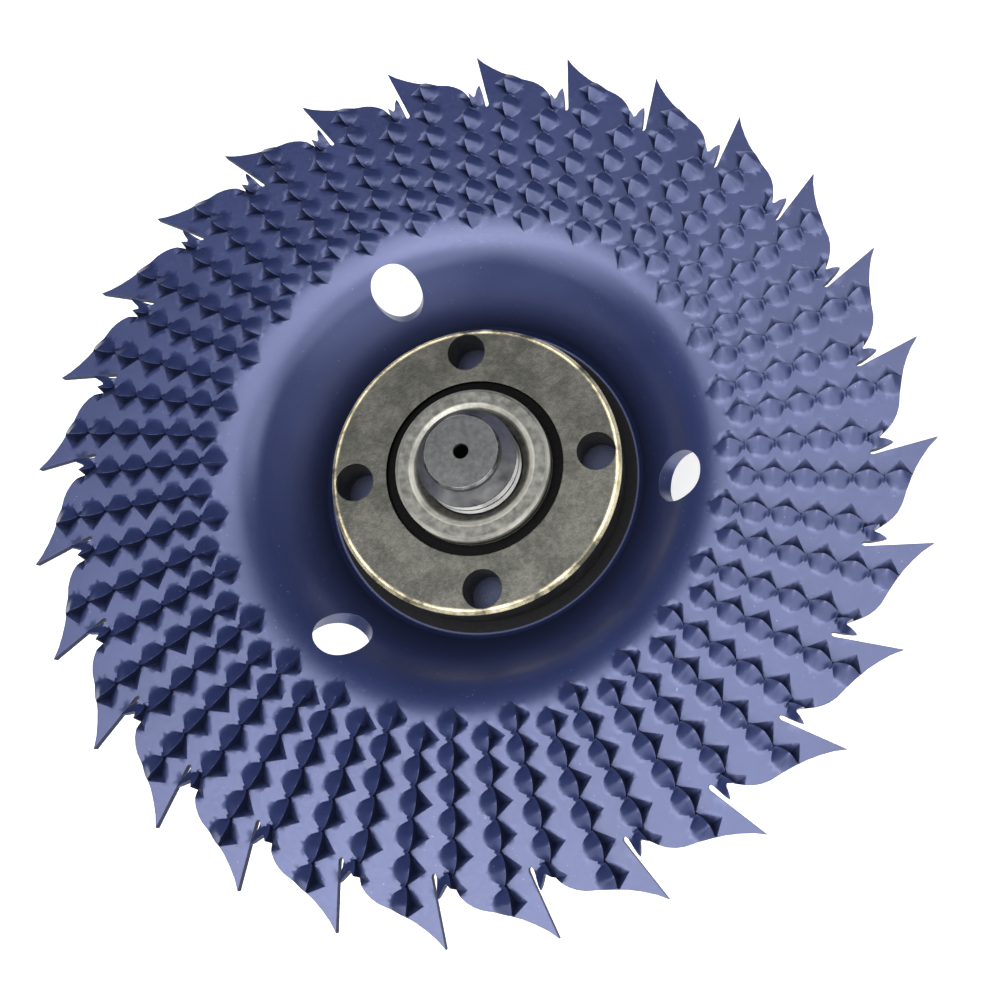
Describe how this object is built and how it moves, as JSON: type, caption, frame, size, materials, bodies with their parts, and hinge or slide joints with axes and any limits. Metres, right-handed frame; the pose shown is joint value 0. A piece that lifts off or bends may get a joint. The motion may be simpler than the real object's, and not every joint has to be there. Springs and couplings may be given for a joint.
{
  "type": "angle grinder carving disc",
  "caption": "Mounted angle grinder carving disc: dished sheet-steel saw-rasp disc clamped by a lock nut and flange on a threaded spindle in a ball bearing.",
  "frame": {"origin": "on the spindle axis, at the middle of the front ball bearing's width", "axes": "+Z along the spindle axis, out of the cutting face of the disc; +X and +Y in the disc's plane"},
  "size_m": [0.125, 0.125, 0.0634],
  "materials": {
    "disc_coat": "satin navy coat on pressed steel",
    "nut_steel": "worn black oxide, bright on the edges",
    "flange_steel": "blackened machined steel",
    "spindle_steel": "machined steel, dull grey",
    "bearing_steel": "ground bearing steel",
    "cage_steel": "pressed bright steel",
    "seal_rubber": "matte black rubber",
    "spring_steel": "phosphated spring steel",
    "dust_ring_steel": "zinc plated steel"
  },
  "bodies": {
    "bearing_housing_ring": {"bearing_outer_ring": "bearing_steel", "seal_front": "seal_rubber", "seal_rear": "seal_rubber"},
    "spindle_group": {"spindle": "spindle_steel", "gear_key": "spindle_steel", "retaining_ring": "spring_steel", "bearing_inner_ring": "bearing_steel", "dust_ring": "dust_ring_steel"},
    "ball_train": {"bearing_balls": "bearing_steel", "cage_front": "cage_steel", "cage_rear": "cage_steel", "cage_rivets": "cage_steel"},
    "flange_group": {"inner_flange": "flange_steel", "flange_o_ring": "seal_rubber"},
    "disc": {"carving_disc": "disc_coat"},
    "nut": {"lock_nut": "nut_steel"}
  },
  "joints": [
    {"name": "spindle_spin", "type": "hinge", "parent": "bearing_housing_ring", "child": "spindle_group", "pos_m": [0, 0, 0], "axis": [0, 0, 1], "continuous": true},
    {"name": "cage_orbit", "type": "hinge", "parent": "bearing_housing_ring", "child": "ball_train", "pos_m": [0, 0, 0], "axis": [0, 0, 1], "continuous": true},
    {"name": "nut_off", "type": "slide", "parent": "spindle_group", "child": "nut", "axis": [0, 0, 1], "range_m": [0, 0.07]},
    {"name": "disc_off", "type": "slide", "parent": "spindle_group", "child": "disc", "axis": [0, 0, 1], "range_m": [0, 0.046]},
    {"name": "flange_off", "type": "slide", "parent": "spindle_group", "child": "flange_group", "axis": [0, 0, 1], "range_m": [0, 0.024]}
  ],
  "couplings": [
    {"joint": "cage_orbit", "follows": "spindle_spin", "ratio": 0.3647},
    {"joint": "disc_off", "follows": "nut_off", "ratio": 0.65},
    {"joint": "flange_off", "follows": "nut_off", "ratio": 0.34}
  ]
}
